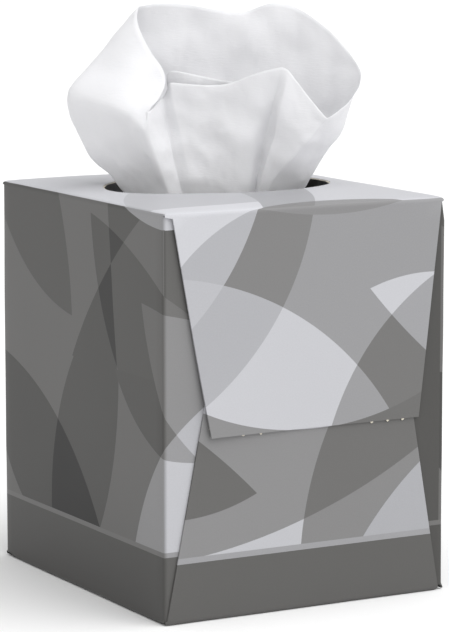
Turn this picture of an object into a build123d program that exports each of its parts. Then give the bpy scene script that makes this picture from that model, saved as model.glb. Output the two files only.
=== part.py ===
"""Cube-shaped tissue box: folded paperboard carton, its glue, the tissue clip inside and the raised tissue.

Millimetres. X runs left to right along the front, Y from front to back, Z up.
The origin is the middle of the underside. The tube of the carton runs along Y,
so the front and back ends are closed by flaps and the other four sides are one wrapped sheet.
"""
import os

from build123d import *

# ---- driving dimensions -------------------------------------------------------------------------
width = 98.0  # outside, left to right
depth = 113.0  # outside, front flap face to back flap face
height = 124.0  # outside, underside to top panel

board = 0.5  # thickness of the paperboard
crease_radius = 1.2  # outside radius of every fold
corner_relief = 0.4  # the tube's full section starts this far behind the dust flaps' folds
glue_film = 0.12  # thickness of glue between two layers

lap_height = 15.0  # glue lap inside the right side panel
lap_end_relief = 4.0  # how far the lap stops short of the flaps' folds
seam_edge = 0.4  # free edge of the right side panel above the underside

upper_flap_length = 68.0  # hangs down from the top panel, outermost
upper_flap_root = (2.4, 1.3)  # inset of its left and right edges at the fold
upper_flap_tip = (15.1, 9.2)  # the same at its free edge
flap_overlap = 11.0  # the lower flap stands up from the bottom panel and ends this far behind the upper
lower_flap_root = (1.3, 1.3)
lower_flap_tip = (14.0, 12.0)
dust_flap_gap = 16.0  # between the free ends of the two dust flaps, the innermost layer
dust_flap_play = 0.4  # space above and below a dust flap
dust_flap_taper = 6.0  # how much its upper and lower edges slope in at the free end

opening_length = 73.6  # oval in the top panel, along X
opening_width = 58.0  # the same along Y

flap_glue_size = (24.0, 6.0)  # strip of glue between flaps, wide and tall
flap_glue_inset = 15.0  # outer end of each strip from the side of the box
flap_glue_heights = (18.0, 42.0)  # rows of glue between the lower flap and the dust flaps
seam_glue_height = 8.0
seam_glue_end = 8.0  # the seam's glue stops this far from the lap's ends

stack_play = 0.9  # space between the tissue clip and each wall
stack_headroom = 14.0  # space between the top of the tissue clip and the top panel
stack_shoulder = 18.0  # radius where the folded clip turns down at each side
stack_slit = 0.8  # gap between the two legs of the folded clip
stack_slit_top = 47.0  # the legs are joined for this much below the clip's top

tissue_height = 57.0  # raised tissue above the top panel
tissue_side_play = 6.0  # between the tissue's neck and each end of the opening
tissue_neck_width = 30.0  # front to back where it passes the opening
tissue_base = (53.0, 25.0)  # length and width where it comes off the clip
tissue_fan = (94.0, 40.0)  # length and width at its widest
tissue_crown = (56.0, 20.0)  # length and width of its top edge
tissue_fan_turn = -27.0  # degrees that the fan is turned about the vertical

# ---- sizes that follow --------------------------------------------------------------------------
layer = board + glue_film  # pitch of one glued layer
front = -depth / 2
dust_plane = front + 2 * layer  # outer face of the dust flaps
tube_end = 2 * layer + crease_radius + corner_relief  # from each end face to the tube's full section
tube_length = depth - 2 * tube_end
right_wall_inside = width / 2 - board
lap_outside = right_wall_inside - glue_film
ceiling = height - board  # underside of the top panel
stack_top = ceiling - stack_headroom
lower_flap_length = height - upper_flap_length + flap_overlap
dust_flap_length = (width - dust_flap_gap) / 2


def board_profile(*points):
    """Section of a bent strip of board, folded square; the points run along its outer face.

    The thickness lies to the left of the way they run.
    """
    outer = [Vector(*point) for point in points]
    inward = [(b - a).normalized().rotate(Axis.Z, 90) * board for a, b in zip(outer, outer[1:])]
    folds = [point + before + after for point, before, after in zip(outer[1:], inward, inward[1:])]
    inner = [outer[0] + inward[0], *folds, outer[-1] + inward[-1]]
    with BuildLine() as outline:
        FilletPolyline(*outer, radius=crease_radius)
        FilletPolyline(*inner, radius=crease_radius - board)
        Line(outer[0], inner[0])
        Line(outer[-1], inner[-1])
    make_face(outline.edges())


def tapered_outline(root_z, tip_z, root, tip):
    """Front view of a flap that narrows from its fold to its free edge."""
    Polygon(
        (root[0] - width / 2, root_z),
        (width / 2 - root[1], root_z),
        (width / 2 - tip[1], tip_z),
        (tip[0] - width / 2, tip_z),
        align=None,
    )


# ---- tube: right, top, left and bottom panels, and the glue lap -----------------------------------
with BuildPart() as tube:
    with BuildSketch(Plane.XZ.offset(-tube_length / 2)):
        board_profile(
            (width / 2, seam_edge),
            (width / 2, height),
            (-width / 2, height),
            (-width / 2, 0),
            (lap_outside, 0),
            (lap_outside, lap_height),
        )
    extrude(amount=tube_length)
    # the lap's ends are cut back, clear of the dust flaps
    with BuildSketch(Plane.YZ.offset(lap_outside - board)):
        with Locations((-tube_length / 2, lap_height), (tube_length / 2, lap_height)):
            Rectangle(2 * lap_end_relief, 2 * (lap_height - crease_radius))
    extrude(amount=board, mode=Mode.SUBTRACT)
    # dispensing opening, torn out along its perforation
    with BuildSketch(Plane.XY.offset(ceiling)):
        Ellipse(opening_length / 2, opening_width / 2)
    extrude(amount=board, mode=Mode.SUBTRACT)

# ---- front flaps, each a strip bent off the end of its panel and then cut to its taper ------------
with BuildPart() as upper_flap:
    with BuildSketch(Plane.YZ):
        board_profile(
            (front + tube_end, height),
            (front, height),
            (front, height - upper_flap_length),
        )
    extrude(amount=width / 2, both=True)
    with BuildSketch(Plane.XZ.offset(-front - tube_end)):
        tapered_outline(height, height - upper_flap_length, upper_flap_root, upper_flap_tip)
    extrude(amount=tube_end, mode=Mode.INTERSECT)

with BuildPart() as lower_flap:
    with BuildSketch(Plane.YZ):
        board_profile(
            (front + layer, lower_flap_length),
            (front + layer, 0),
            (front + tube_end, 0),
        )
    extrude(amount=width / 2, both=True)
    with BuildSketch(Plane.XZ.offset(-front - tube_end)):
        tapered_outline(0, lower_flap_length, lower_flap_root, lower_flap_tip)
    extrude(amount=tube_end, mode=Mode.INTERSECT)

with BuildPart() as dust_flap:
    with BuildSketch(Plane.XY):
        board_profile(
            (-width / 2, front + tube_end),
            (-width / 2, dust_plane),
            (-width / 2 + dust_flap_length, dust_plane),
        )
    extrude(amount=height)
    with BuildSketch(Plane.XZ.offset(-front - tube_end)):
        Polygon(
            (-width / 2, board + dust_flap_play),
            (-width / 2 + dust_flap_length, board + dust_flap_play + dust_flap_taper),
            (-width / 2 + dust_flap_length, ceiling - dust_flap_play - dust_flap_taper),
            (-width / 2, ceiling - dust_flap_play),
            align=None,
        )
    extrude(amount=tube_end, mode=Mode.INTERSECT)

# ---- carton: the tube with both ends closed, one folded sheet --------------------------------------
with BuildPart() as front_flaps:
    add(upper_flap.part)
    add(lower_flap.part)
    add(dust_flap.part)
    mirror(dust_flap.part, about=Plane.YZ)

with BuildPart() as carton:
    add(tube.part)
    add(front_flaps.part)
    mirror(front_flaps.part, about=Plane.XZ)

# ---- glue ----------------------------------------------------------------------------------------
with BuildPart() as seam_glue:
    with BuildSketch(Plane.YZ.offset(lap_outside)):
        with Locations((0, lap_height / 2)):
            Rectangle(tube_length - 2 * lap_end_relief - 2 * seam_glue_end, seam_glue_height)
    extrude(amount=glue_film)

flap_glue_x = width / 2 - flap_glue_inset - flap_glue_size[0] / 2
with BuildPart() as front_glue:
    # upper flap on lower flap, then lower flap on dust flaps
    for glue_plane, heights in (
        (front + layer, [lower_flap_length - flap_overlap / 2]),
        (dust_plane, flap_glue_heights),
    ):
        with BuildSketch(Plane.XZ.offset(-glue_plane)):
            with Locations(*[(side * flap_glue_x, z) for side in (-1, 1) for z in heights]):
                Rectangle(*flap_glue_size)
        extrude(amount=glue_film)

with BuildPart() as back_glue:
    mirror(front_glue.part, about=Plane.XZ)

# ---- tissue clip: interfolded sheets folded over into an upside-down U ---------------------------
stack_left = board + stack_play - width / 2
stack_right = lap_outside - board - stack_play
stack_middle = (stack_left + stack_right) / 2
stack_depth = depth - 2 * (2 * layer + board + stack_play)
slit_height = stack_top - stack_slit_top - board
with BuildPart() as tissue_stack:
    with BuildSketch(Plane.XZ.offset(-stack_depth / 2)) as clip_section:
        with Locations((stack_middle, board)):
            Rectangle(stack_right - stack_left, stack_top - board, align=(Align.CENTER, Align.MIN))
            fillet(clip_section.vertices().group_by(Axis.Y)[-1], stack_shoulder)
            Rectangle(stack_slit, slit_height, align=(Align.CENTER, Align.MIN), mode=Mode.SUBTRACT)
    extrude(amount=stack_depth)

# ---- raised tissue: pulled up through the opening and fanned out above it -------------------------
neck = (opening_length - 2 * tissue_side_play, tissue_neck_width)
# each section: height, length and width, and how much of the fan's turn it has
sections = [
    (stack_top, tissue_base, 0),
    (height + 2, neck, 0.3),
    (height + 0.26 * tissue_height, (0.94 * tissue_fan[0], 0.9 * tissue_fan[1]), 0.8),
    (height + 0.5 * tissue_height, tissue_fan, 1),
    (height + 0.8 * tissue_height, (0.8 * tissue_fan[0], 0.84 * tissue_fan[1]), 1),
    (height + tissue_height, tissue_crown, 1),
]
with BuildPart() as popup_tissue:
    for z, size, turn in sections:
        with BuildSketch(Plane.XY.offset(z)):
            Ellipse(size[0] / 2, size[1] / 2, rotation=turn * tissue_fan_turn)
    loft()

# ---- output --------------------------------------------------------------------------------------
pieces = {
    "carton": carton,
    "seam_glue": seam_glue,
    "front_glue": front_glue,
    "back_glue": back_glue,
    "tissue_stack": tissue_stack,
    "popup_tissue": popup_tissue,
}
os.makedirs("parts", exist_ok=True)
for name, piece in pieces.items():
    piece.part.label = name
    export_step(piece.part, f"parts/{name}.step")
    print(f"{name}: {len(piece.part.solids())} solids, {piece.part.volume / 1000:.1f} cm3")
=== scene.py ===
import math
import random

import bmesh
import bpy
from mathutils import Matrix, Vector, noise


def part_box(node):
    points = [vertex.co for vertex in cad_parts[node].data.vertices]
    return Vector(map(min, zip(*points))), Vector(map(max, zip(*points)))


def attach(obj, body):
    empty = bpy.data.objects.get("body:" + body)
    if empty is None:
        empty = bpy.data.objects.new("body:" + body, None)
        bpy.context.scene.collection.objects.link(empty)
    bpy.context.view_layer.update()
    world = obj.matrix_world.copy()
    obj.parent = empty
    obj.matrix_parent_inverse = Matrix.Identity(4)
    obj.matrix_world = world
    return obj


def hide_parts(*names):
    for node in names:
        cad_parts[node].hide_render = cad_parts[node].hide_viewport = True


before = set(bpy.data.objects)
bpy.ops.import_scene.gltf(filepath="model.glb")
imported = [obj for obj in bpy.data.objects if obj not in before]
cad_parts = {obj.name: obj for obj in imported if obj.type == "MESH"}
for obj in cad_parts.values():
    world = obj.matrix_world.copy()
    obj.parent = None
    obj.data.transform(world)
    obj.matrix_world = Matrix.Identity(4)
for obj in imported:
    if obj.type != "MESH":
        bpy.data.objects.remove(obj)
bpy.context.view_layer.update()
bpy.ops.object.select_all(action="DESELECT")

# =================================================================================================
# Carton. One sheet of coated paperboard, printed in greys, die-cut flat with its flaps and glue lap,
# creased, folded into a tube from front to back, and closed at both ends by glued flaps.
# The blank is modelled flat at the height of the top panel, and then folded like the real one.
# =================================================================================================
MM = 0.001
carton_low, carton_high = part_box("carton")
width = carton_high[0] - carton_low[0]
depth = carton_high[1] - carton_low[1]
height = carton_high[2] - carton_low[2]
board = 0.5 * MM
glue_film = 0.12 * MM
layer = board + glue_film  # one glued layer on the next
crease_radius = 1.2 * MM
crease_margin = 1.6 * MM  # first row of faces beside a fold
near = 0.1 * MM  # closer than this counts as the same place
half_width = width / 2
half_depth = depth / 2

seam_edge = 0.4 * MM  # the right panel's free edge above the underside
lap_height = 15 * MM
lap_relief = 4 * MM
bottom_width = width - layer  # from the left fold to the lap's fold
upper_flap_length = 68 * MM
lower_flap_length = 67 * MM
dust_flap_length = 41 * MM
opening_radii = (37.8 * MM, 29 * MM)  # torn 1 mm longer at each end than the cut in the CAD
top_lift = Vector((0, 0, 1.6 * MM))  # how far the full clip lifts the top panel's middle
flap_stand_off = Vector((0, -1.1 * MM, 0))
seam_push = 0.9 * MM  # how far the seam's double board pushes the right panel out


def select(piece, kind, test):
    """Selects the vertices, edges or faces whose middle passes the test, and nothing else."""
    bpy.ops.mesh.select_mode(type=kind)
    bpy.ops.mesh.select_all(action="DESELECT")
    mesh = bmesh.from_edit_mesh(piece.data)
    if kind == "VERT":
        for vertex in mesh.verts:
            vertex.select_set(test(vertex.co))
    elif kind == "EDGE":
        for edge in mesh.edges:
            edge.select_set(all(test(vertex.co) for vertex in edge.verts))
    else:
        for face in mesh.faces:
            face.select_set(test(face.calc_center_median()))
    mesh.select_flush_mode()
    bmesh.update_edit_mesh(piece.data)


def extend(direction, length, rows):
    """Extrudes the selected edge into a strip of faces, with a narrow row beside each fold."""
    steps = [crease_margin] + [(length - 2 * crease_margin) / rows] * rows + [crease_margin]
    for step in steps:
        bpy.ops.mesh.extrude_region_move(TRANSFORM_OT_translate={"value": direction * step})


def fold(piece, moving, axis, centre, degrees):
    """Folds the vertices that pass the test about a crease."""
    select(piece, "VERT", moving)
    bpy.ops.transform.rotate(value=math.radians(degrees), orient_axis=axis, center_override=centre)


bpy.ops.mesh.primitive_grid_add(x_subdivisions=16, y_subdivisions=18, size=1, location=(0, 0, height))
carton = bpy.context.object
carton.name = "carton_board"
carton.scale = (width, depth, 1)
bpy.ops.object.transform_apply(location=True, rotation=True, scale=True)
bpy.ops.object.mode_set(mode="EDIT")

# side panels, bottom panel and glue lap, one after the other from the top panel's edges
right_free_edge = half_width + height - seam_edge
left_fold = -half_width
floor_fold = left_fold - height
lap_fold = floor_fold - bottom_width
lap_free_edge = lap_fold - lap_height
left, right = Vector((-1, 0, 0)), Vector((1, 0, 0))
select(carton, "EDGE", lambda p: p.x > half_width - near)
extend(right, height - seam_edge, 20)
select(carton, "EDGE", lambda p: p.x < left_fold + near)
extend(left, height, 20)
extend(left, bottom_width, 16)
extend(left, lap_height, 2)

# each panel but the top ends a layer or two short, so that its flap lies behind the others
for end in (-1, 1):
    for low, high, step_back in (
        (left_fold - height + near, left_fold - near, 2 * layer),
        (half_width + near, right_free_edge + near, 2 * layer),
        (lap_fold - near, floor_fold + near, layer),
        (lap_free_edge - near, lap_fold - near, layer + lap_relief),
    ):
        select(carton, "VERT", lambda p: low < p.x < high and p.y * end > half_depth - near)
        bpy.ops.transform.translate(value=(0, -end * step_back, 0))

# the opening: a window is cleared in the top panel and filled again with rings round the oval
window_x, window_y = half_width * 7 / 8, half_depth * 7 / 9
select(carton, "FACE", lambda p: abs(p.x) < window_x and abs(p.y) < window_y)
bpy.ops.mesh.delete(type="FACE")
lift = Vector((0, 0, 20 * MM))  # bridged from above, so that the faces don't cross the opening
ring_centre = Vector((0, 0, height)) + lift
bpy.ops.mesh.primitive_circle_add(vertices=56, radius=1, fill_type="NOTHING", location=ring_centre)
bpy.ops.transform.resize(value=(opening_radii[0], opening_radii[1], 1), center_override=ring_centre)
bpy.ops.mesh.select_mode(type="EDGE")
ring_spread = 1
for spread in (1.015, 1.03, 1.05):
    bpy.ops.mesh.extrude_region_move()
    bpy.ops.transform.resize(value=(spread, spread, 1), center_override=ring_centre)
    ring_spread *= spread


def on_gap(p):
    """True on the window's edge and on the outermost ring."""
    on_side = abs(abs(p.x) - window_x) < near and abs(p.y) < window_y + near
    on_end = abs(abs(p.y) - window_y) < near and abs(p.x) < window_x + near
    ring = math.hypot(p.x / opening_radii[0], p.y / opening_radii[1])
    return on_side or on_end or abs(ring - ring_spread) < 0.002


select(carton, "EDGE", on_gap)
bpy.ops.mesh.bridge_edge_loops()
select(carton, "VERT", lambda p: p.z > height + near)
bpy.ops.transform.translate(value=-lift)

# flaps: extruded off the ends of the panels row by row, each row narrowed to the flap's tapered sides
side_fold, floor_flap_fold = half_depth - 2 * layer, half_depth - layer
upper_insets = ((2.4 * MM, 15.1 * MM), (1.3 * MM, 9.2 * MM))  # left root and tip, right root and tip
lower_insets = ((0.3 * MM, 12.0 * MM), (0.5 * MM, 14.0 * MM))  # the same, of the sheet lying flat
dust_insets = ((0.6 * MM, 6.9 * MM), (0.6 * MM, 6.9 * MM))
for end in (-1, 1):
    for low, high, root_margin, fold_y, length, insets in (
        (left_fold, half_width, 0, half_depth, upper_flap_length, upper_insets),
        (half_width, right_free_edge, crease_margin, side_fold, dust_flap_length, dust_insets),
        (floor_fold, left_fold, crease_margin, side_fold, dust_flap_length, dust_insets),
        (lap_fold, floor_fold, 0, floor_flap_fold, lower_flap_length, lower_insets),
    ):
        first, last = low + root_margin, high - root_margin
        select(
            carton,
            "EDGE",
            lambda p: first - near < p.x < last + near and abs(p.y * end - fold_y) < near,
        )
        reach = 0
        for step in [crease_margin] + [(length - 2 * crease_margin) / 12] * 12 + [crease_margin]:
            reach += step
            new_first = low + insets[0][0] + (insets[0][1] - insets[0][0]) * reach / length
            new_last = high - insets[1][0] - (insets[1][1] - insets[1][0]) * reach / length
            bpy.ops.mesh.extrude_region_move(TRANSFORM_OT_translate={"value": (0, end * step, 0)})
            narrowing = (new_last - new_first) / (last - first)
            still = (new_first - narrowing * first) / (1 - narrowing)  # the place that keeps its x
            bpy.ops.transform.resize(
                value=(narrowing, 1, 1),
                center_override=(still, end * (fold_y + reach), height),
            )
            first, last = new_first, new_last

# the sheet's own flat coordinates go into its UV map, in metres, so that the print follows the folds
bpy.ops.object.mode_set(mode="OBJECT")
flat = carton.data.uv_layers.new(name="flat_sheet")
for loop in carton.data.loops:
    flat.data[loop.index].uv = carton.data.vertices[loop.vertex_index].co.xy
bpy.ops.object.mode_set(mode="EDIT")

# end flaps are folded first, then the side panels, the bottom panel and the lap
for end in (-1, 1):
    for low, high, fold_y in (
        (left_fold, half_width, half_depth),
        (half_width, right_free_edge, side_fold),
        (floor_fold, left_fold, side_fold),
        (lap_fold, floor_fold, floor_flap_fold),
    ):
        fold(
            carton,
            lambda p: low + near < p.x < high - near and p.y * end > fold_y + near,
            "X",
            (0, end * fold_y, height),
            90 * end,
        )
fold(carton, lambda p: p.x > half_width + near, "Y", (half_width, 0, height), -90)
fold(carton, lambda p: p.x < left_fold - near, "Y", (left_fold, 0, height), 90)
fold(carton, lambda p: p.z < -near, "Y", (left_fold, 0, 0), 90)
lap_outside = left_fold + bottom_width
fold(carton, lambda p: p.x > lap_outside + near and p.z < near, "Y", (lap_outside, 0, 0), 90)

# the creases are rounded, and the corners blunted
select(carton, "VERT", lambda p: abs(p.x) > lap_outside - near and abs(p.y) > floor_flap_fold - near)
bpy.ops.transform.resize(value=(0.99, 0.991, 1), center_override=(0, 0, height))
select(
    carton,
    "VERT",
    lambda p: abs(p.x) > 0.98 * half_width and abs(p.y) > 0.985 * half_depth and p.z > height - near,
)
bpy.ops.transform.resize(value=(0.998, 0.991, 1), center_override=(0, 0, height))
# the seam's double board pushes the right panel out a little
select(carton, "VERT", lambda p: p.x > half_width - near and p.z < height - 2 * MM)
bpy.ops.transform.translate(value=(seam_push, 0, 0))
bpy.ops.mesh.select_all(action="SELECT")
bpy.ops.mesh.normals_make_consistent(inside=False)
bpy.ops.mesh.select_mode(type="EDGE")
bpy.ops.mesh.select_all(action="DESELECT")
bpy.ops.mesh.edges_select_sharp(sharpness=math.radians(60))
bpy.ops.mesh.bevel(offset=crease_radius, segments=4, affect="EDGES")
bpy.ops.mesh.select_all(action="SELECT")
bpy.ops.mesh.normals_make_consistent(inside=False)
bpy.ops.object.mode_set(mode="OBJECT")


def swell(piece, push, weight):
    """Moves each vertex of the piece by the push, times the weight of its place."""
    for vertex in piece.data.vertices:
        vertex.co += push * weight(vertex.co)


def on_top(p):
    """Weight on the top panel: 0 at its creases, and 1 at its middle."""
    if p.z < height - 2 * MM or abs(p.x) > half_width or abs(p.y) > half_depth:
        return 0
    return (1 - (p.x / half_width) ** 4) * (1 - (p.y / half_depth) ** 4)


def at_flap_corner(p):
    """Weight on the front flap: 1 at its lower left corner, falling off smoothly over 42 mm."""
    if p.y > -half_depth + near:
        return 0
    away = (p - Vector((left_fold + 15 * MM, -half_depth, height - upper_flap_length))).length
    return max(0, 1 - away / (42 * MM)) ** 2


# the full clip lifts the top panel round the opening, and one corner of the front flap stands off
swell(carton, top_lift, on_top)
swell(carton, flap_stand_off, at_flap_corner)


def apply_modifier(piece, kind, **settings):
    """Adds a modifier to the piece with these settings, and applies it."""
    bpy.ops.object.select_all(action="DESELECT")
    piece.select_set(True)
    bpy.context.view_layer.objects.active = piece
    modifier = piece.modifiers.new(kind.lower(), kind)
    for name, value in settings.items():
        setattr(modifier, name, value)
    bpy.ops.object.modifier_apply(modifier=modifier.name)


waves = bpy.data.textures.new("board_waves", "CLOUDS")
waves.noise_scale = 45 * MM
apply_modifier(
    carton, "DISPLACE", texture=waves, texture_coords="LOCAL", strength=0.5 * MM, mid_level=0.5
)

# printed faces: each face of the box gets the place of its print in millimetres, measured from the
# face's lower left corner, in a second UV map; the back and right faces repeat the front and left
bottom_middle = floor_fold - half_width
print_map = carton.data.uv_layers.new(name="print_place")
ENDS, SIDES, TOP, CUT_EDGE, INSIDE = range(5)  # material slots of the board
for face in carton.data.polygons:
    loops = list(face.loop_indices)
    middle = sum((carton.data.uv_layers["flat_sheet"].data[i].uv for i in loops), Vector((0, 0))) / len(loops)
    side = 1 if middle.y < 0 else -1
    for i in loops:
        u, v = carton.data.uv_layers["flat_sheet"].data[i].uv
        if middle.x > half_width or floor_fold < middle.x < left_fold:
            turned = 1 if middle.x < 0 else -1
            place = (half_depth + turned * v, -floor_fold + turned * u)
            face.material_index = SIDES
        elif abs(middle.x) < half_width:
            if abs(middle.y) > half_depth:
                place = (half_width + side * u, height + half_depth + side * v)
                face.material_index = ENDS
            else:
                place = (half_width + u, half_depth + v)
                face.material_index = TOP
        elif abs(middle.y) > floor_flap_fold:
            place = (half_width + side * (bottom_middle - u), -side * v - floor_flap_fold)
            face.material_index = ENDS
        else:  # the underside is all one dark grey, like the band round the foot
            place = (half_width, -3 * MM)
            face.material_index = ENDS
        print_map.data[i].uv = (place[0] / MM, place[1] / MM)

apply_modifier(
    carton,
    "SOLIDIFY",
    thickness=board,
    offset=-1,
    material_offset=INSIDE,
    material_offset_rim=CUT_EDGE,
)


def linear(hexa):
    """An sRGB colour such as "A0A0A0" as linear RGBA."""
    channels = [int(hexa[i : i + 2], 16) / 255 for i in (0, 2, 4)]
    return [c / 12.92 if c <= 0.04045 else ((c + 0.055) / 1.055) ** 2.4 for c in channels] + [1]


def add(tree, kind, settings, inputs):
    """Adds a node: an input given as a socket is linked, and any other is set as its value."""
    new = tree.nodes.new(kind)
    for name, value in settings.items():
        setattr(new, name, value)
    for name, value in inputs.items():
        if isinstance(value, bpy.types.NodeSocket):
            tree.links.new(value, new.inputs[name])
        else:
            new.inputs[name].default_value = value
    return new


def shader(name):
    """A new material, with its node tree and its Principled shader."""
    material = bpy.data.materials.new(name)
    material.use_nodes = True
    return material, material.node_tree, material.node_tree.nodes["Principled BSDF"]


def circle(tree, place, x, z, radius):
    """Two masks on the print: inside the circle, and outside it."""
    away = add(tree, "ShaderNodeVectorMath", {"operation": "DISTANCE"}, {0: place, 1: (x, z, 0)})
    within = add(tree, "ShaderNodeMath", {"operation": "LESS_THAN"}, {0: away.outputs["Value"], 1: radius})
    beyond = add(tree, "ShaderNodeMath", {"operation": "SUBTRACT"}, {0: 1.0, 1: within.outputs[0]})
    return within.outputs[0], beyond.outputs[0]


def paint(tree, tone, grey, *masks):
    """Prints one flat grey over the tone where all the masks are 1."""
    cover = masks[0]
    for mask in masks[1:]:
        cover = add(tree, "ShaderNodeMath", {"operation": "MULTIPLY"}, {0: cover, 1: mask}).outputs[0]
    ink = linear(grey * 3)[0]
    return add(tree, "ShaderNodeMix", {"data_type": "FLOAT"}, {0: cover, 2: tone, 3: ink}).outputs[0]


def between(tree, value, low, high):
    """A mask of 1 where the value lies between two limits."""
    above = add(tree, "ShaderNodeMath", {"operation": "GREATER_THAN"}, {0: value, 1: low})
    below = add(tree, "ShaderNodeMath", {"operation": "LESS_THAN"}, {0: value, 1: high})
    both = {0: above.outputs[0], 1: below.outputs[0]}
    return add(tree, "ShaderNodeMath", {"operation": "MULTIPLY"}, both).outputs[0]


def print_ends(tree, place, x, z):
    """Leaves of the front and back: large pointed fields that overlap and change tone."""
    a_in, a_out = circle(tree, place, 48.8, 67.5, 59.3)
    b_in, _ = circle(tree, place, -53.7, 154.6, 90.5)
    c_in, c_out = circle(tree, place, -34, 137.3, 85.9)
    d_in, _ = circle(tree, place, -6.6, 3.6, 101.4)
    _, e_out = circle(tree, place, 51, 149.6, 94)
    f_in, _ = circle(tree, place, 91.7, 41.3, 59.8)
    k_in, _ = circle(tree, place, 228.6, 234, 208.8)
    g_in, g_out = circle(tree, place, 135.4, 28.6, 82.7)
    h_in, _ = circle(tree, place, 57.6, 225.1, 104.3)
    tone = add(tree, "ShaderNodeValue", {}, {}).outputs[0]
    tone.default_value = linear("A4A4A4")[0]
    tone = paint(tree, tone, "8B", c_in)
    tone = paint(tree, tone, "B2", h_in, c_out)
    tone = paint(tree, tone, "96", h_in)
    tone = paint(tree, tone, "BE", b_in, a_in)
    tone = paint(tree, tone, "DB", b_in, a_out)
    tone = paint(tree, tone, "7E", g_in)
    tone = paint(tree, tone, "AC", g_in, k_in)
    tone = paint(tree, tone, "D6", g_out, k_in, f_in)
    tone = paint(tree, tone, "D4", d_in, c_out, g_out)
    tone = paint(tree, tone, "BC", d_in, c_in)
    tone = paint(tree, tone, "C8", d_in, b_in)
    tone = paint(tree, tone, "A5", d_in, g_in)
    # below the large pointed field
    low = between(tree, z, -5, 62)
    q_in, q_out = circle(tree, place, 153.1, 10.7, 106.5)
    i_in, _ = circle(tree, place, -110.7, -102.5, 199.6)
    m_in, _ = circle(tree, place, 5.1, 95.2, 63.4)
    _, j_out = circle(tree, place, -11.5, 213.6, 195)
    n_in, _ = circle(tree, place, 157.8, -43.5, 109.1)
    tone = paint(tree, tone, "96", e_out, q_out, between(tree, z, -5, 67))
    tone = paint(tree, tone, "76", e_out, q_in, between(tree, z, -5, 67))
    tone = paint(tree, tone, "70", low, i_in, m_in, e_out)
    tone = paint(tree, tone, "90", low, j_out, q_in)
    tone = paint(tree, tone, "CD", low, j_out, q_out)
    tone = paint(tree, tone, "B9", low, n_in)
    tone = paint(tree, tone, "AA", between(tree, z, 18.4, 20.2))
    return paint(tree, tone, "68", between(tree, z, -5, 18.4))


def print_sides_painted_shade(tree, place, x, z):
    """Leaves of the side panels, which run on round the corner to the dust flaps, with painted shade
    darkening the panels themselves.
    """
    a_in, _ = circle(tree, place, 173.6, 79.6, 111.9)
    b_in, _ = circle(tree, place, 52.3, 162.2, 76.7)
    c_in, _ = circle(tree, place, -37.5, 126.2, 86.1)
    d_in, d_out = circle(tree, place, -1127, 234, 1169.2)
    e_in, _ = circle(tree, place, 81.3, -22.1, 145.6)
    f_in, f_out = circle(tree, place, -78.1, -17, 166.7)
    g_in, g_out = circle(tree, place, -74, 114.8, 91)
    h_in, _ = circle(tree, place, 30, -55, 151.6)
    k_in, _ = circle(tree, place, -1.2, 198.4, 79.5)
    m_in, _ = circle(tree, place, 125.5, 70.3, 95.3)
    n_in, _ = circle(tree, place, 135.2, -38.6, 110.1)
    p_in, _ = circle(tree, place, -2.7, 25, 79.9)
    q_in, q_out = circle(tree, place, -13.8, 104.3, 55.8)
    _, r_out = circle(tree, place, 68.8, 61.7, 49.5)
    s_in, _ = circle(tree, place, -62, -5, 86)
    high = between(tree, z, 73.5, 140)
    low = between(tree, z, -5, 73.5)
    tone = add(tree, "ShaderNodeValue", {}, {}).outputs[0]
    tone.default_value = linear("989898")[0]
    # painted shade: the strips round the corners are darker above z 86, standing in for the shade beside the
    # front flap's edge
    tone = paint(tree, tone, "6E", between(tree, z, 86, 140), between(tree, x, -50, 1))
    tone = paint(tree, tone, "7C", a_in, b_in)  # the leaf by the back edge
    tone = paint(tree, tone, "7A", f_out, d_in)
    tone = paint(tree, tone, "74", f_in, d_out, high)
    tone = paint(tree, tone, "7C", c_in, e_in, high, f_in, d_in)
    tone = paint(tree, tone, "79", c_in, e_in, high, f_out, d_out)
    tone = paint(tree, tone, "52", c_in, e_in, high, f_out, d_in)
    tone = paint(tree, tone, "4A", c_in, e_in, high, f_in, d_out)
    tone = paint(tree, tone, "74", low, f_in, p_in, m_in)
    tone = paint(tree, tone, "6E", low, n_in)
    tone = paint(tree, tone, "3A", low, n_in, p_in, m_in)
    tone = paint(tree, tone, "79", low, q_in)
    tone = paint(tree, tone, "98", h_in, g_in)
    tone = paint(tree, tone, "D0", low, s_in, q_out)
    tone = paint(tree, tone, "A4", low, s_in, q_in, g_out)
    tone = paint(tree, tone, "C4", low, s_in, g_in)
    tone = paint(tree, tone, "98", low, r_out, between(tree, x, 98, 120))
    tone = paint(tree, tone, "DB", k_in, between(tree, x, -50, 26))
    tone = paint(tree, tone, "78", between(tree, x, 112.8, 160))  # the far corner's strip
    tone = paint(tree, tone, "A4", between(tree, z, 20.8, 22.3))
    tone = paint(tree, tone, "68", between(tree, z, -5, 20.8))
    # painted shade: the side panels face away from the light, so above the band they are darkened to 0.54 of
    # their print and on the band to 0.7, while the strips round their corners keep their print
    painted_side_shade = add(
        tree, "ShaderNodeMapRange", {"clamp": True}, {0: x, 1: 0.0, 2: 1.6, 3: 1.0, 4: 0.54}
    ).outputs[0]
    painted_band_shade = add(tree, "ShaderNodeMapRange", {"clamp": True}, {0: x, 1: 0.0, 2: 1.6, 3: 1.0, 4: 0.7})
    band = between(tree, z, -5, 20.8)
    painted_side_shade = add(
        tree, "ShaderNodeMix", {"data_type": "FLOAT"}, {0: band, 2: painted_side_shade, 3: painted_band_shade.outputs[0]}
    ).outputs[0]
    return add(tree, "ShaderNodeMath", {"operation": "MULTIPLY"}, {0: tone, 1: painted_side_shade}).outputs[0]


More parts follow.
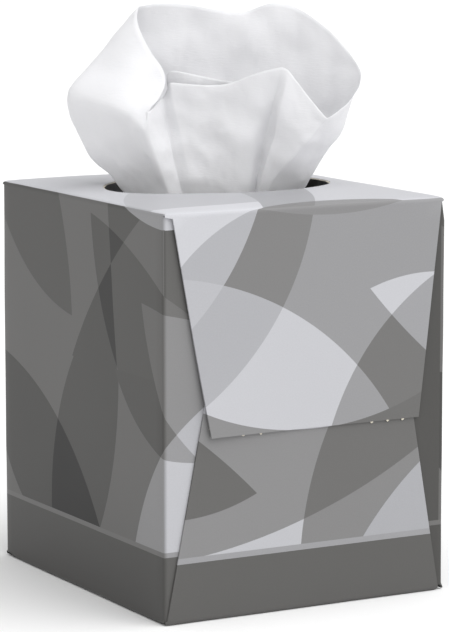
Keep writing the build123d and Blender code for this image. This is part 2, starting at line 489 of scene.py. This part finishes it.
def print_top(tree, place, x, z):
    """Light fields round the opening."""
    a_in, a_out = circle(tree, place, -62, 42, 104)
    b_in, b_out = circle(tree, place, -40, 60, 109)
    c_in, _ = circle(tree, place, 57, -62, 67)
    d_in, d_out = circle(tree, place, 20, 190, 181.5)
    e_in, _ = circle(tree, place, 61, 5, 64)
    tone = add(tree, "ShaderNodeValue", {}, {}).outputs[0]
    tone.default_value = linear("D8D8D8")[0]
    tone = paint(tree, tone, "B4", b_in, a_out, between(tree, z, -5, 60))
    tone = paint(tree, tone, "C8", a_in, d_in, e_in)
    tone = paint(tree, tone, "E0", a_in, d_out)
    tone = paint(tree, tone, "8E", c_in, b_in)
    return paint(tree, tone, "9C", c_in, b_out)


def printed_board(name, draw, ink):
    """Clay-coated folding boxboard, offset printed in greys under a thin dispersion varnish."""
    material, tree, surface = shader(name)
    place = add(tree, "ShaderNodeUVMap", {"uv_map": "print_place"}, {}).outputs[0]
    split = add(tree, "ShaderNodeSeparateXYZ", {}, {0: place})
    tone = draw(tree, place, split.outputs[0], split.outputs[1])
    tone = add(tree, "ShaderNodeMath", {"operation": "MULTIPLY"}, {0: tone, 1: ink}).outputs[0]
    grain = add(
        tree, "ShaderNodeTexNoise", {}, {"Vector": place, "Scale": 2.2, "Detail": 4.0, "Roughness": 0.6}
    )
    mottle = {0: grain.outputs["Fac"], 1: 0.3, 2: 0.7, 3: 0.97, 4: 1.03}
    speck = add(tree, "ShaderNodeMapRange", {}, mottle)
    tone = add(tree, "ShaderNodeMath", {"operation": "MULTIPLY"}, {0: tone, 1: speck.outputs[0]}).outputs[0]
    # dark inks are slightly warm, light ones slightly cool
    lightness = add(tree, "ShaderNodeMapRange", {}, {0: tone, 1: 0.08, 2: 0.35})
    warmth = add(
        tree,
        "ShaderNodeMix",
        {"data_type": "RGBA"},
        {0: lightness.outputs[0], 6: (1.02, 1, 0.96, 1), 7: (0.985, 0.99, 1.04, 1)},
    )
    colour = add(
        tree,
        "ShaderNodeVectorMath",
        {"operation": "SCALE"},
        {0: warmth.outputs[2], "Scale": tone},
    )
    tree.links.new(colour.outputs[0], surface.inputs["Base Color"])
    surface.inputs["Roughness"].default_value = 0.42
    surface.inputs["IOR"].default_value = 1.48
    surface.inputs["Specular IOR Level"].default_value = 0.2  # a thin matt varnish, turned down
    bump = add(
        tree,
        "ShaderNodeBump",
        {},
        {"Strength": 0.25, "Distance": 0.02 * MM, "Height": grain.outputs["Fac"]},
    )
    tree.links.new(bump.outputs[0], surface.inputs["Normal"])
    return material


def plain_board(name, colour, roughness):
    """Bare board, matt, with darker and lighter fibres in it."""
    material, tree, surface = shader(name)
    where = add(tree, "ShaderNodeTexCoord", {}, {}).outputs["Object"]
    fibre = add(
        tree, "ShaderNodeTexNoise", {}, {"Vector": where, "Scale": 2500.0, "Detail": 5.0, "Roughness": 0.7}
    )
    shade = add(tree, "ShaderNodeMapRange", {}, {0: fibre.outputs["Fac"], 1: 0.3, 2: 0.7, 3: 0.8, 4: 1.15})
    tint = {0: linear(colour)[:3], "Scale": shade.outputs[0]}
    mixed = add(tree, "ShaderNodeVectorMath", {"operation": "SCALE"}, tint)
    tree.links.new(mixed.outputs[0], surface.inputs["Base Color"])
    surface.inputs["Roughness"].default_value = roughness
    bump = add(
        tree, "ShaderNodeBump", {}, {"Strength": 0.6, "Distance": 0.05 * MM, "Height": fibre.outputs["Fac"]}
    )
    tree.links.new(bump.outputs[0], surface.inputs["Normal"])
    return material


for material in (
    printed_board("coated_board_printed_ends", print_ends, 0.745),
    printed_board("coated_board_printed_sides_painted_shade", print_sides_painted_shade, 0.73),
    printed_board("coated_board_printed_top", print_top, 0.755),
    plain_board("board_cut_edge_cream", "D9D2C2", 0.9),
    plain_board("board_inside_manila", "E2DBCE", 0.85),
):
    carton.data.materials.append(material)
bpy.ops.object.shade_smooth_by_angle(angle=math.radians(35))
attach(carton, "root")
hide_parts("carton")

# =================================================================================================
# Torn fibres. The opening's cover and the tear strip on the upper flap have been torn off along their
# perforations, and leave a ragged edge of bare board round the opening and small tufts on the flap.
# =================================================================================================
random.seed(11)
bpy.ops.object.select_all(action="DESELECT")
rim_height = height - 0.3 * MM
bpy.ops.mesh.primitive_circle_add(
    vertices=360, radius=1, fill_type="NOTHING", location=(0, 0, rim_height)
)
torn_rim = bpy.context.object
torn_rim.name = "torn_board_edge"
torn_rim.scale = (opening_radii[0] + 0.1 * MM, opening_radii[1] + 0.1 * MM, 1)
bpy.ops.object.transform_apply(location=True, rotation=True, scale=True)
bpy.ops.object.mode_set(mode="EDIT")
bpy.ops.mesh.select_all(action="SELECT")
for shrink in (0.996, 0.992):
    bpy.ops.mesh.extrude_region_move()
    bpy.ops.transform.resize(value=(shrink, shrink, 1), center_override=(0, 0, rim_height))
bpy.ops.object.mode_set(mode="OBJECT")
for vertex in torn_rim.data.vertices:
    inward = 1 - math.hypot(vertex.co.x / opening_radii[0], vertex.co.y / opening_radii[1])
    if inward > 0.003:
        angle = math.atan2(vertex.co.y, vertex.co.x)
        tear = noise.noise(Vector((math.cos(angle), math.sin(angle), 0)) * 7)
        ragged = 0.012 * tear + random.uniform(-0.004, 0.004)
        vertex.co.x *= 1 + ragged
        vertex.co.y *= 1 + ragged
        vertex.co.z += (0.25 * tear + random.uniform(-0.06, 0.06)) * MM
swell(torn_rim, top_lift, on_top)
apply_modifier(torn_rim, "SOLIDIFY", thickness=0.22 * MM, offset=0)
torn_rim.data.materials.append(bpy.data.materials["board_cut_edge_cream"])
bpy.ops.object.shade_smooth_by_angle(angle=math.radians(40))
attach(torn_rim, "root")

# tufts: where the five ties of each tear strip were, measured from the flap's left corner
tufts = []
flap_edge = height - upper_flap_length
for end in (-1, 1):
    for tie in (26.5, 32.6, 71.7, 77.5, 83):
        bpy.ops.mesh.primitive_ico_sphere_add(subdivisions=3, radius=0.38 * MM)
        tuft = bpy.context.object
        tuft.scale = (1.25, 0.6, random.uniform(0.8, 1.2))
        tuft.location = (
            end * (half_width - tie * MM),
            end * (half_depth - 0.2 * MM),
            flap_edge - 0.1 * MM,
        )
        bpy.ops.object.transform_apply(location=True, rotation=True, scale=True)
        for vertex in tuft.data.vertices:
            vertex.co += noise.noise_vector(vertex.co * 2600) * 0.22 * MM
        tufts.append(tuft)
for tuft in tufts:
    tuft.select_set(True)
bpy.context.view_layer.objects.active = tufts[0]
bpy.ops.object.join()
tear_ties = bpy.context.object
tear_ties.name = "torn_ties"
tear_ties.data.materials.append(bpy.data.materials["board_cut_edge_cream"])
bpy.ops.object.shade_smooth()
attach(tear_ties, "root")

# =================================================================================================
# Tissue standing up out of the opening. Half of one soft two-ply creped sheet; its other half is still
# folded in the clip. It comes up through the clip's slit, is pinched in the opening, and flares.
# Its pleats and rolled edges are drawn rib by rib, which extruding and scaling can't follow: each rib
# runs down from the free edge, and is given as across, up and out from the middle of the opening.
# =================================================================================================
facing = math.radians(-29.2)  # the fan lies across this direction
across = Vector((math.cos(facing), math.sin(facing), 0))
out_of = Vector((math.sin(facing), -math.cos(facing), 0))
tissue_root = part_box("popup_tissue")[0][2] + 1 * MM - height
SHARP, SOFT = 0.75, 0.0
ribs = (
    # front layer, from its left fold to the right
    (SHARP, (-15, 34, 9), (-13, 23, 9), (-10, 11, 10), (-8, 0, 11)),
    (SOFT, (-5, 33, 8), (-5, 23, 9), (-4, 11, 10), (-3, 0, 11)),
    (SOFT, (4, 33, 9), (3, 23, 10), (2, 11, 10), (2, 0, 10)),
    (SOFT, (11, 37, 11), (10, 24, 12), (8, 12, 11), (7, 0, 10)),
    # the deep pleat right of the middle, and the ridge beside it
    (SHARP, (20, 39, 12), (17, 25, 9), (14, 14, 6), (12, 0, 6)),
    (SHARP, (22, 38, 12), (20, 27, 13), (16, 14, 12), (13, 0, 9)),
    (SOFT, (28, 30, 13), (25, 21, 14), (20, 12, 12), (14, 0, 9)),
    (SHARP, (34, 23, 14), (30, 18, 14), (23, 11, 13), (15, 0, 9)),
    # round the right side
    (SOFT, (41, 27, 9), (36, 17, 9), (30, 9, 6), (22, 0, 4)),
    (SOFT, (46, 34, 0), (42, 22, 0), (35, 11, -2), (28, 0, -1)),
    (SOFT, (43, 41, -6), (42, 29, -6), (34, 13, -6), (26, 0, -4)),
    # back layer, highest
    (SOFT, (36, 49, -10), (34, 32, -10), (26, 13, -8), (20, 0, -6)),
    (SOFT, (27, 56, -12), (25, 35, -12), (17, 16, -9), (13, 0, -6)),
    (SOFT, (17, 59, -12), (16, 38, -12), (11, 16, -9), (8, 0, -6)),
    (SOFT, (9, 54, -13), (8, 37, -12), (5, 16, -9), (3, 0, -5)),
    (SOFT, (2, 55, -13), (0, 37, -11), (-3, 16, -8), (-3, 0, -4)),
    (SOFT, (-8, 57, -12), (-8, 38, -12), (-10, 16, -8), (-9, 0, -3)),
    (SOFT, (-17, 58, -10), (-20, 40, -11), (-20, 16, -7), (-16, 0, -2)),
    # the left lobe bulges outwards, and its edge rolls back in
    (SHARP, (-25, 57, -5), (-38, 41, -8), (-36, 15, -7), (-25, 0, 0)),
    (SOFT, (-26, 54, 0), (-52, 32, 0), (-48, 15, -1), (-31, 0, 6)),
    (SOFT, (-22, 44, 5), (-44, 30, 11), (-40, 12, 5), (-29, 0, 9)),
    (SOFT, (-15, 37, 9), (-32, 27, 17), (-31, 10, 10), (-24, 0, 11)),
    (SOFT, (-17, 30, 13), (-26, 24, 19), (-25, 9, 12), (-20, 0, 12)),
    (SHARP, (-22, 25, 18), (-22, 19, 18), (-19, 9, 15), (-15, 0, 13)),
    (SHARP, (-17, 29, 8), (-16, 20, 8), (-14, 9, 9), (-11, 0, 10)),
)
cage = []
for _, rim, upper, lower, neck in ribs:
    deep = (neck[0] * 0.92, -6, neck[2] * 0.6 + 1)
    painted_band_shade = (neck[0] * 0.8, tissue_root / MM, neck[2] * 0.25 + 1)
    for step in (rim, upper, lower, neck, deep, painted_band_shade):
        place = across * step[0] + out_of * step[2]
        cage.append((place.x * MM, place.y * MM, height + step[1] * MM))
rows = 6
count = len(ribs)
faces = []
for rib in range(count):
    for step in range(rows - 1):
        here, beside = rib * rows + step, (rib + 1) % count * rows + step
        faces.append((here, here + 1, beside + 1, beside))
# the second ply stands a little proud of the front layer at the left, and joins it at the right
ply = ((-17, 38, 4), (-11, 37, 5), (-4, 35.5, 5), (3, 34, 6), (9, 34, 8))
first_ply = len(cage)
for edge_across, edge_up, edge_out in ply:
    for fall in (0, 10, 20):
        place = across * edge_across * (1 - 0.012 * fall) + out_of * (edge_out + 0.03 * fall)
        cage.append((place.x * MM, place.y * MM, height + (edge_up - fall) * MM))
for rib in range(len(ply) - 1):
    for step in range(2):
        here, beside = first_ply + rib * 3 + step, first_ply + (rib + 1) * 3 + step
        faces.append((here, here + 1, beside + 1, beside))
sheet = bpy.data.meshes.new("tissue_sheet")
sheet.from_pydata(cage, [], faces)
tissue = bpy.data.objects.new("tissue_sheet", sheet)
bpy.context.collection.objects.link(tissue)
crease = sheet.attributes.new("crease_edge", "FLOAT", "EDGE")
for edge in sheet.edges:
    first, second = edge.vertices
    if max(first, second) >= first_ply:
        continue
    if first // rows == second // rows and ribs[first // rows][0] and first % rows < 4:
        crease.data[edge.index].value = ribs[first // rows][0]
    elif first % rows == second % rows == 1 and 19 <= min(first, second) // rows <= 22:
        crease.data[edge.index].value = 0.45  # the lobe's outer break

# its own sheet coordinates: metres round the sheet, and metres down from the free edge
sheet_map = sheet.uv_layers.new(name="sheet")
for face in sheet.polygons:
    for i, corner in zip(face.loop_indices, face.vertices):
        round_sheet = corner // rows
        if round_sheet == 0 and face.index // (rows - 1) == count - 1:
            round_sheet = count
        sheet_map.data[i].uv = (round_sheet * 8 * MM, corner % rows * 18 * MM)
apply_modifier(tissue, "SUBSURF", levels=3, render_levels=3)
folds = bpy.data.textures.new("tissue_folds", "CLOUDS")
folds.noise_scale = 15 * MM
folds.noise_depth = 1
apply_modifier(tissue, "DISPLACE", texture=folds, texture_coords="LOCAL", strength=2.4 * MM)
crumple = bpy.data.textures.new("tissue_crumple", "VORONOI")
crumple.noise_scale = 11 * MM
apply_modifier(tissue, "DISPLACE", texture=crumple, texture_coords="LOCAL", strength=1.6 * MM)
ripple = bpy.data.textures.new("tissue_ripple", "CLOUDS")
ripple.noise_scale = 4 * MM
ripple.noise_depth = 2
apply_modifier(tissue, "DISPLACE", texture=ripple, texture_coords="LOCAL", strength=0.6 * MM)
apply_modifier(tissue, "SUBSURF", levels=1, render_levels=1)
apply_modifier(tissue, "SOLIDIFY", thickness=0.15 * MM, offset=0)
bpy.ops.object.shade_smooth()

# creped two-ply paper: matt, lets some light through, with fine crepe lines across it and a dotted press
tissue_paper, tissue_tree, tissue_surface = shader("creped_tissue_paper_two_ply")
in_space = add(tissue_tree, "ShaderNodeTexCoord", {}, {}).outputs["Object"]
stretch = {0: in_space, 1: (0.35, 0.35, 1.6)}
squeezed = add(tissue_tree, "ShaderNodeVectorMath", {"operation": "MULTIPLY"}, stretch).outputs[0]
crepe = add(
    tissue_tree, "ShaderNodeTexNoise", {}, {"Vector": squeezed, "Scale": 1400.0, "Detail": 4.0}
).outputs["Fac"]
felt = add(
    tissue_tree, "ShaderNodeTexNoise", {}, {"Vector": in_space, "Scale": 260.0, "Detail": 3.0}
).outputs["Fac"]
relief = add(
    tissue_tree, "ShaderNodeMath", {"operation": "MULTIPLY_ADD"}, {0: felt, 1: 1.5, 2: crepe}
).outputs[0]
press = add(
    tissue_tree, "ShaderNodeBump", {}, {"Strength": 0.5, "Distance": 0.12 * MM, "Height": relief}
).outputs[0]
tissue_surface.inputs["Base Color"].default_value = linear("F1F1F3")
tissue_surface.inputs["Roughness"].default_value = 0.95
tissue_surface.inputs["Specular IOR Level"].default_value = 0.15
tissue_surface.inputs["Sheen Weight"].default_value = 0.25
tissue_tree.links.new(press, tissue_surface.inputs["Normal"])
glow = add(tissue_tree, "ShaderNodeBsdfTranslucent", {}, {"Color": linear("FBFBFC"), "Normal": press})
through = add(
    tissue_tree, "ShaderNodeMixShader", {}, {0: 0.22, 1: tissue_surface.outputs[0], 2: glow.outputs[0]}
)
tissue_tree.links.new(through.outputs[0], tissue_tree.nodes["Material Output"].inputs["Surface"])
tissue.data.materials.append(tissue_paper)
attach(tissue, "root")
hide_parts("popup_tissue")

# =================================================================================================
# Clip of folded tissues and the glue. The clip is a stack of interleaved sheets seen edge on, bent over
# in the box; the glue is a dispersion adhesive laid on in dots and lines. Their CAD shapes are kept.
# =================================================================================================
stack_paper, stack_tree, stack_surface = shader("folded_tissue_edges")
stack_place = add(stack_tree, "ShaderNodeTexCoord", {}, {}).outputs["Object"]
sheet_edges = add(
    stack_tree,
    "ShaderNodeTexWave",
    {"bands_direction": "Z"},
    {"Vector": stack_place, "Scale": 420.0, "Distortion": 1.2, "Detail": 2.0, "Detail Scale": 3.0},
).outputs["Fac"]
edge_shade = add(
    stack_tree, "ShaderNodeMapRange", {}, {0: sheet_edges, 3: 0.72, 4: 0.9}
).outputs[0]
edge_tint = {0: (1, 1, 0.99), "Scale": edge_shade}
edge_colour = add(stack_tree, "ShaderNodeVectorMath", {"operation": "SCALE"}, edge_tint).outputs[0]
edge_bump = {"Strength": 0.6, "Distance": 0.1 * MM, "Height": sheet_edges}
stack_tree.links.new(edge_colour, stack_surface.inputs["Base Color"])
stack_tree.links.new(
    add(stack_tree, "ShaderNodeBump", {}, edge_bump).outputs[0], stack_surface.inputs["Normal"]
)
stack_surface.inputs["Roughness"].default_value = 0.95

glue_skin, glue_tree, glue_surface = shader("dried_dispersion_glue")
glue_place = add(glue_tree, "ShaderNodeTexCoord", {}, {}).outputs["Object"]
glue_film_noise = add(
    glue_tree, "ShaderNodeTexNoise", {}, {"Vector": glue_place, "Scale": 900.0, "Detail": 3.0}
).outputs["Fac"]
glue_bump = {"Strength": 0.4, "Distance": 0.05 * MM, "Height": glue_film_noise}
glue_tree.links.new(
    add(glue_tree, "ShaderNodeBump", {}, glue_bump).outputs[0], glue_surface.inputs["Normal"]
)
glue_surface.inputs["Base Color"].default_value = linear("E6E2D2")
glue_surface.inputs["Roughness"].default_value = 0.35
for node, finish in (
    ("tissue_stack", stack_paper),
    ("seam_glue", glue_skin),
    ("front_glue", glue_skin),
    ("back_glue", glue_skin),
):
    for holder in bpy.data.objects[node].material_slots:
        holder.material = finish

# =================================================================================================
# Studio: a pale floor without an edge, a broad soft light from the front right, and a white surround.
# =================================================================================================
bpy.ops.mesh.primitive_plane_add(size=30)
floor = bpy.context.object
floor.name = "studio_floor"
floor_paint, _, floor_surface = shader("white_floor_paint")
floor_surface.inputs["Base Color"].default_value = linear("F2F2F2")
floor_surface.inputs["Roughness"].default_value = 0.9
floor.data.materials.append(floor_paint)

bpy.ops.object.light_add(type="SUN", rotation=(math.radians(32), 0, math.radians(28)))
key = bpy.context.object
key.name = "soft_key_light"
key.data.energy = 2.3
key.data.angle = math.radians(75)

world = bpy.data.worlds.new("white_surround")
bpy.context.scene.world = world
world.use_nodes = True
world.node_tree.nodes["Background"].inputs["Color"].default_value = (1, 1, 1, 1)
world.node_tree.nodes["Background"].inputs["Strength"].default_value = 0.68

bpy.ops.object.camera_add(
    location=(-465 * MM, -836.5 * MM, 223.6 * MM),
    rotation=(math.radians(90 - 8.35), 0, math.radians(-29.2)),
)
camera = bpy.context.object
camera.data.lens = 173.3
camera.data.sensor_width = 36
bpy.context.scene.camera = camera
bpy.context.scene.view_settings.view_transform = "Standard"
